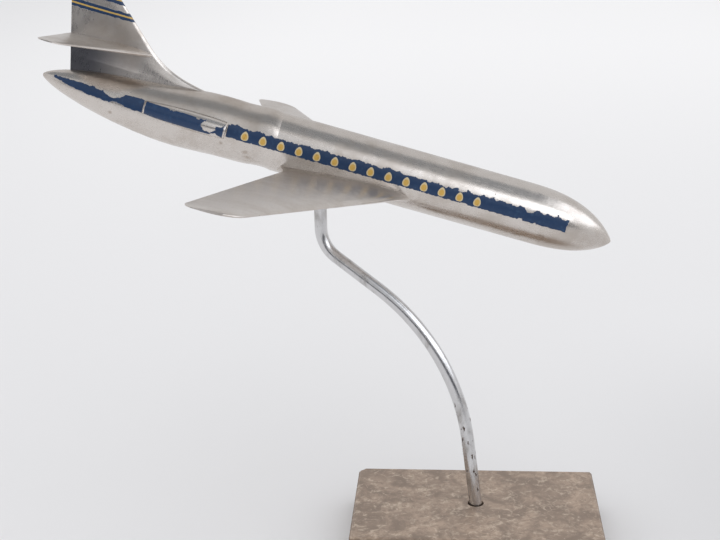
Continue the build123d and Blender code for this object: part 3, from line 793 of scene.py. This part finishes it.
def make_felt():
    size = felt_high - felt_low
    middle = (felt_high + felt_low) / 2
    bm = bmesh.new()
    bmesh.ops.create_grid(bm, x_segments=54, y_segments=34, size=0.5)
    bmesh.ops.scale(bm, vec=(size.x, size.y, 1), verts=bm.verts)
    raised = bmesh.ops.extrude_face_region(bm, geom=bm.faces[:])
    top = [item for item in raised["geom"] if isinstance(item, bmesh.types.BMVert)]
    bmesh.ops.translate(bm, vec=(0, 0, size.z), verts=top)
    bmesh.ops.translate(bm, vec=(middle.x, middle.y, felt_low.z), verts=bm.verts)
    bmesh.ops.recalc_face_normals(bm, faces=bm.faces)
    rim = [edge for edge in bm.edges if len(edge.link_faces) == 2 and edge.calc_face_angle() > 1.0]
    bmesh.ops.bevel(bm, geom=rim, offset=FELT_RIM_RADIUS, offset_type="OFFSET", segments=3, profile=0.5,
                    affect="EDGES", material=-1)
    for vert in bm.verts:
        wave = CUT_WANDER * (math.sin(vert.co.x * 210 + 1.3) + math.sin(vert.co.y * 290 - vert.co.x * 60))
        vert.co.x -= wave * vert.co.x / size.x * 2
        vert.co.y -= wave * vert.co.y / size.y * 2
    mesh = bpy.data.meshes.new("felt_pad")
    bm.to_mesh(mesh)
    bm.free()
    felt = bpy.data.objects.new("felt_pad", mesh)
    scene.collection.objects.link(felt)
    mesh.materials.append(make_felt_finish())
    mesh.polygons.foreach_set("use_smooth", [True] * len(mesh.polygons))
    return felt, size


felt_pad, felt_size = make_felt()
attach(felt_pad, "base")
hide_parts("base_felt")
print("felt pad:", len(felt_pad.data.polygons), "faces,", [round(v / MM, 1) for v in felt_size], "mm")

# %% [markdown]
# ## Studio
#
# Polished metal shows the room, not itself. The room here is a sheet of pale paper under a white sky.
# The sky is greyer for reflections than for lighting, as the far walls of a room are, and the paper is
# given painted shade where a real sheet falls out of the light. It is backdrop, not object.

# %% Sky and floor
SKY = (0.975, 0.975, 0.985)
MIRRORED_SKY = (0.70, 0.70, 0.71)
# The near paper is darker as painted shade, the shaded paper is the colour of painted shade and shadow.
SHADED_NEAR_PAPER = (0.775, 0.775, 0.785)
FAR_PAPER = (0.930, 0.930, 0.935)
SHADED_PAPER = (0.640, 0.640, 0.650)
PAPER_HALF_SIZE = 6.0
NEAR_TO_FAR = (-100.0, 2100.0)


def make_sky():
    """A white sky for lighting, and a greyer one that only reflections see."""
    world = bpy.data.worlds.new("studio")
    scene.world = world
    world.use_nodes = True
    tree = world.node_tree
    path = tree.nodes.new("ShaderNodeLightPath")
    colour = dye(tree, path.outputs["Is Glossy Ray"], SKY, MIRRORED_SKY)
    feed(tree, tree.nodes["Background"].inputs["Color"], colour)


def make_floor():
    bm = bmesh.new()
    bmesh.ops.create_grid(bm, x_segments=24, y_segments=24, size=PAPER_HALF_SIZE)
    mesh = bpy.data.meshes.new("paper_floor")
    bm.to_mesh(mesh)
    bm.free()
    floor = bpy.data.objects.new("paper_floor", mesh)
    scene.collection.objects.link(floor)
    material, tree, shader = new_finish("pale_paper", roughness=0.9)
    x, y, z = parts_of(tree, ruler(tree))
    # Painted shade: the paper darkens near the camera and towards the sides, with a painted shadow beside
    # the base.
    paper = dye(tree, spread(tree, y, *NEAR_TO_FAR), SHADED_NEAR_PAPER, FAR_PAPER)
    off_middle = calc(tree, "ABSOLUTE", calc(tree, "SUBTRACT", x, 100.0))
    shade_to_sides = spread(tree, off_middle, 350.0, 1500.0, 0.0, 0.5)
    shadow_beside_base = calc(tree, "MULTIPLY", spread(tree, x, 20.0, 200.0, 0.0, 0.8), spread(tree, y, 380.0, 0.0))
    paper = dye(tree, calc(tree, "MAXIMUM", shade_to_sides, shadow_beside_base), paper, SHADED_PAPER)
    feed(tree, shader.inputs["Base Color"], paper)
    mesh.materials.append(material)
    return floor


make_sky()
floor = make_floor()
print("floor:", floor.name)

# %% [markdown]
# ## Cards and lamp
#
# A card is a glowing sheet that the camera and the matt surfaces do not see, so it changes nothing but
# the reflections. The front card, above the camera, draws the long highlight over the cheat line and
# glows more towards the nose. The dark crown card draws the grey band along the top of the body, the
# dark room card stands for the far end of the room, and the side card draws the line along the rod.

# %% Cards and lamp
TAIL_GLOW = (0.52, 0.54, 0.56)
WAIST_GLOW = (0.74, 0.76, 0.80)
NOSE_GLOW = (2.50, 2.60, 2.75)
CROWN_GLOW = (0.30, 0.32, 0.345)
ROOM_GLOW = (0.10, 0.105, 0.12)
SIDE_GLOW = (1.70, 1.75, 1.85)
TAIL_TO_WAIST = (-200.0, 250.0)
WAIST_TO_NOSE = (230.0, 740.0)


def make_card(name, middle, size, turn, glows):
    """A sheet that glows for reflections only, with one glow left, one in the middle and one right."""
    bm = bmesh.new()
    bmesh.ops.create_grid(bm, x_segments=1, y_segments=1, size=0.5)
    bmesh.ops.scale(bm, vec=(*size, 1), verts=bm.verts)
    bmesh.ops.rotate(bm, matrix=Matrix.Rotation(math.radians(turn[0]), 3, turn[1]), verts=bm.verts)
    bmesh.ops.translate(bm, vec=middle, verts=bm.verts)
    mesh = bpy.data.meshes.new(name)
    bm.to_mesh(mesh)
    bm.free()
    card = bpy.data.objects.new(name, mesh)
    scene.collection.objects.link(card)
    material = bpy.data.materials.new(name)
    material.use_nodes = True
    tree = material.node_tree
    tree.nodes.clear()
    x, y, z = parts_of(tree, ruler(tree))
    glow = tree.nodes.new("ShaderNodeEmission")
    tail_glow, waist_glow, nose_glow = glows
    colour = dye(tree, spread(tree, x, *TAIL_TO_WAIST), tail_glow, waist_glow)
    feed(tree, glow.inputs["Color"], dye(tree, spread(tree, x, *WAIST_TO_NOSE), colour, nose_glow))
    output = tree.nodes.new("ShaderNodeOutputMaterial")
    tree.links.new(glow.outputs["Emission"], output.inputs["Surface"])
    mesh.materials.append(material)
    card.visible_camera = False
    card.visible_diffuse = False
    card.visible_shadow = False
    return card


def make_lamp(name, power, place, size, aim):
    data = bpy.data.lights.new(name, "AREA")
    data.energy = power
    data.size = size
    lamp = bpy.data.objects.new(name, data)
    scene.collection.objects.link(lamp)
    towards = Vector(aim) - Vector(place)
    lamp.matrix_world = Matrix.Translation(place) @ towards.to_track_quat("-Z", "Y").to_matrix().to_4x4()
    lamp.visible_glossy = False
    return lamp


front_glows = (TAIL_GLOW, WAIST_GLOW, NOSE_GLOW)
cards = [
    make_card("front_card", (0.0, -1.12, 1.09), (3.2, 0.75), (52.5, "X"), front_glows),
    make_card("crown_card", (-0.3, -0.15, 1.6), (2.4, 1.15), (0.0, "X"), (CROWN_GLOW,) * 3),
    make_card("room_card", (0.0, -1.7, 0.31), (4.0, 0.52), (90.0, "X"), (ROOM_GLOW,) * 3),
    make_card("side_card", (1.35, -0.1, 1.25), (1.5, 1.2), (90.0, "Y"), (SIDE_GLOW,) * 3),
]
overhead_lamp = make_lamp("overhead_lamp", 4.0, (-0.3, -0.4, 2.2), 2.5, (0.0, 0.0, 0.1))
print("studio:", [card.name for card in cards], "and", overhead_lamp.name)
